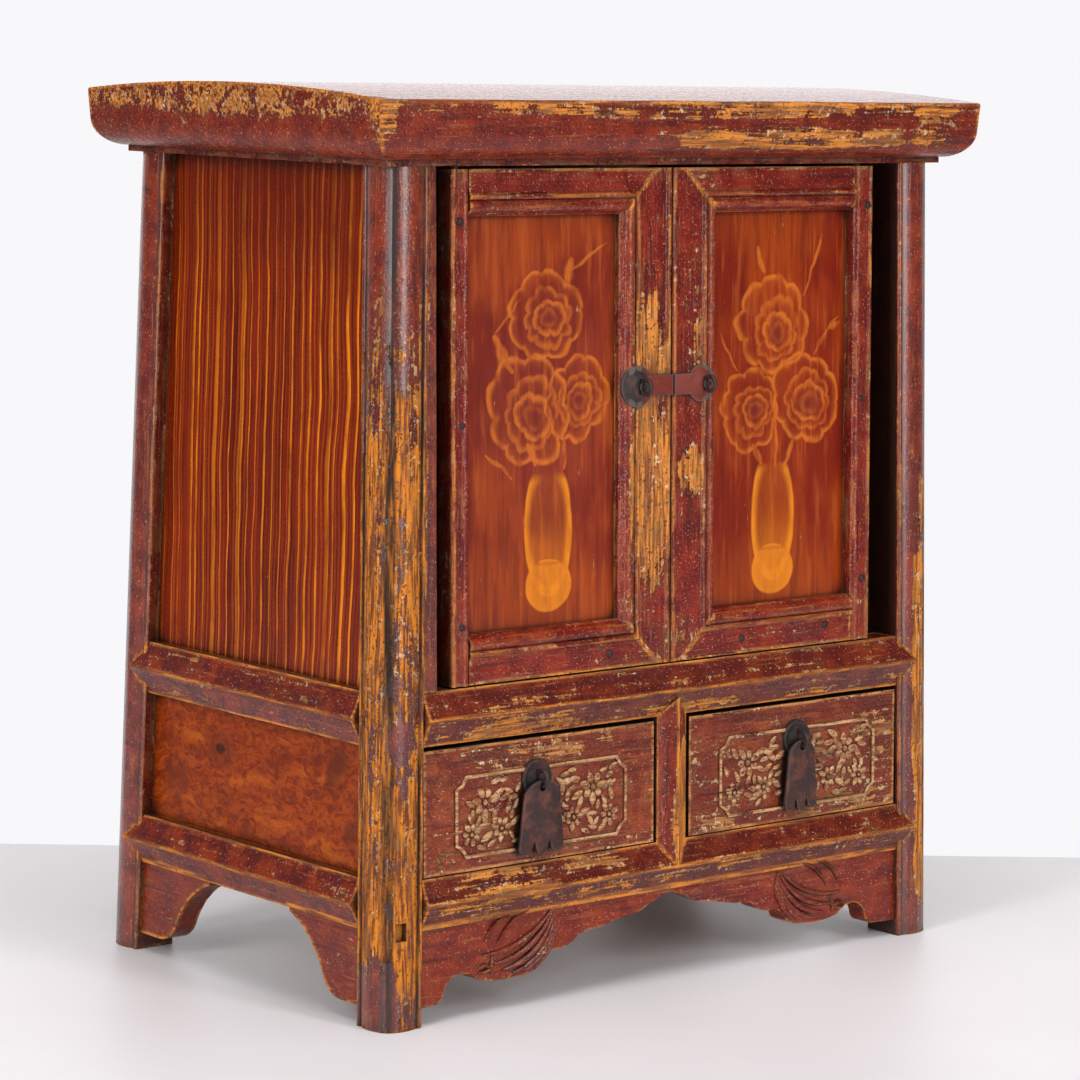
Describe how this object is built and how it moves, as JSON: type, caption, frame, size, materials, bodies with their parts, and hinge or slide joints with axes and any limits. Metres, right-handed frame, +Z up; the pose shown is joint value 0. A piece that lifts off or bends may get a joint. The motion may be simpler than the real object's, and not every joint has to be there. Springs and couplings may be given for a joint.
{
  "type": "desktop cabinet with doors",
  "caption": "Small battered cabinet with an overhanging top, a pair of panelled doors over drawers with hanging iron pulls, a scalloped apron and bracket feet.",
  "frame": {"origin": "on the floor, under the middle of the cabinet's bounding box", "axes": "+Z up, the doors face -Y, +X to the right of someone facing the cabinet"},
  "size_m": [0.404, 0.246, 0.4555],
  "materials": {
    "top_lacquer": "worn oxblood lacquer over ochre wood",
    "worn_lacquer": "lacquer mostly worn away to ochre wood",
    "frame_lacquer": "oxblood lacquer, worn on the edges",
    "striped_side_panel": "glossy stained softwood with strong grain",
    "mottled_side_panel": "glossy stained wood, mottled",
    "apron_lacquer": "oxblood lacquer, carved",
    "painted_door_panel": "lacquered panel with a faded painted vase of flowers",
    "door_lacquer": "oxblood lacquer, worn to bare wood at the middle",
    "carved_drawer_front": "carved and lacquered, worn on the high spots",
    "plain_wood": "bare aged softwood",
    "dark_iron": "old forged iron",
    "painted_iron": "iron overpainted with the door"
  },
  "bodies": {
    "carcase": {"apron_front": "apron_lacquer", "bed_back": "frame_lacquer", "bed_front": "frame_lacquer", "bed_left": "frame_lacquer", "bed_right": "frame_lacquer", "compartment_floor": "plain_wood", "divider": "frame_lacquer", "drawer_floor": "plain_wood", "drawer_guides": "plain_wood", "jamb_left": "frame_lacquer", "panel_back_lower": "plain_wood", "panel_back_upper": "plain_wood", "panel_left_lower": "mottled_side_panel", "panel_left_upper": "striped_side_panel", "panel_right_lower": "mottled_side_panel", "panel_right_upper": "striped_side_panel", "post_back_left": "frame_lacquer", "post_back_right": "frame_lacquer", "post_front_left": "worn_lacquer", "post_front_right": "frame_lacquer", "rail_back_lower": "frame_lacquer", "rail_back_upper": "frame_lacquer", "rail_front_lower": "frame_lacquer", "rail_front_upper": "frame_lacquer", "rail_left_lower": "frame_lacquer", "rail_left_upper": "frame_lacquer", "rail_right_lower": "frame_lacquer", "rail_right_upper": "frame_lacquer", "spandrels_left": "apron_lacquer", "spandrels_right": "apron_lacquer", "top_board": "top_lacquer"},
    "left_door": {"left_door_foot_rail": "door_lacquer", "left_door_lock_plate": "dark_iron", "left_door_lock_staple": "dark_iron", "left_door_meeting_stile": "door_lacquer", "left_door_panel": "painted_door_panel", "left_door_pivot_stile": "door_lacquer", "left_door_top_rail": "door_lacquer"},
    "left_drawer": {"left_drawer_back": "plain_wood", "left_drawer_bottom": "plain_wood", "left_drawer_front": "carved_drawer_front", "left_drawer_pull_plate": "dark_iron", "left_drawer_pull_staple": "dark_iron", "left_drawer_sides": "plain_wood"},
    "left_pull": {"left_drawer_pull": "dark_iron"},
    "right_door": {"right_door_foot_rail": "door_lacquer", "right_door_lock_plate": "painted_iron", "right_door_lock_staple": "dark_iron", "right_door_meeting_stile": "door_lacquer", "right_door_panel": "painted_door_panel", "right_door_pivot_stile": "door_lacquer", "right_door_top_rail": "door_lacquer"},
    "right_drawer": {"right_drawer_back": "plain_wood", "right_drawer_bottom": "plain_wood", "right_drawer_front": "carved_drawer_front", "right_drawer_pull_plate": "dark_iron", "right_drawer_pull_staple": "dark_iron", "right_drawer_sides": "plain_wood"},
    "right_pull": {"right_drawer_pull": "dark_iron"}
  },
  "joints": [
    {"name": "left_door_hinge", "type": "hinge", "parent": "carcase", "child": "left_door", "pos_m": [-0.1378, -0.10068, 0.28959], "axis": [0, -0.0287, -0.9996], "range_deg": [0, 100]},
    {"name": "right_door_hinge", "type": "hinge", "parent": "carcase", "child": "right_door", "pos_m": [0.1349, -0.10068, 0.28959], "axis": [0, 0.0287, 0.9996], "range_deg": [0, 100]},
    {"name": "left_drawer_slide", "type": "slide", "parent": "carcase", "child": "left_drawer", "axis": [0, -1, 0], "range_m": [0, 0.15]},
    {"name": "right_drawer_slide", "type": "slide", "parent": "carcase", "child": "right_drawer", "axis": [0, -1, 0], "range_m": [0, 0.15]},
    {"name": "left_pull_swing", "type": "hinge", "parent": "left_drawer", "child": "left_pull", "pos_m": [-0.09101, -0.11789, 0.11546], "axis": [-1, 0, 0], "range_deg": [-2, 90]},
    {"name": "right_pull_swing", "type": "hinge", "parent": "right_drawer", "child": "right_pull", "pos_m": [0.08801, -0.11784, 0.11706], "axis": [-1, 0, 0], "range_deg": [-2, 90]}
  ]
}
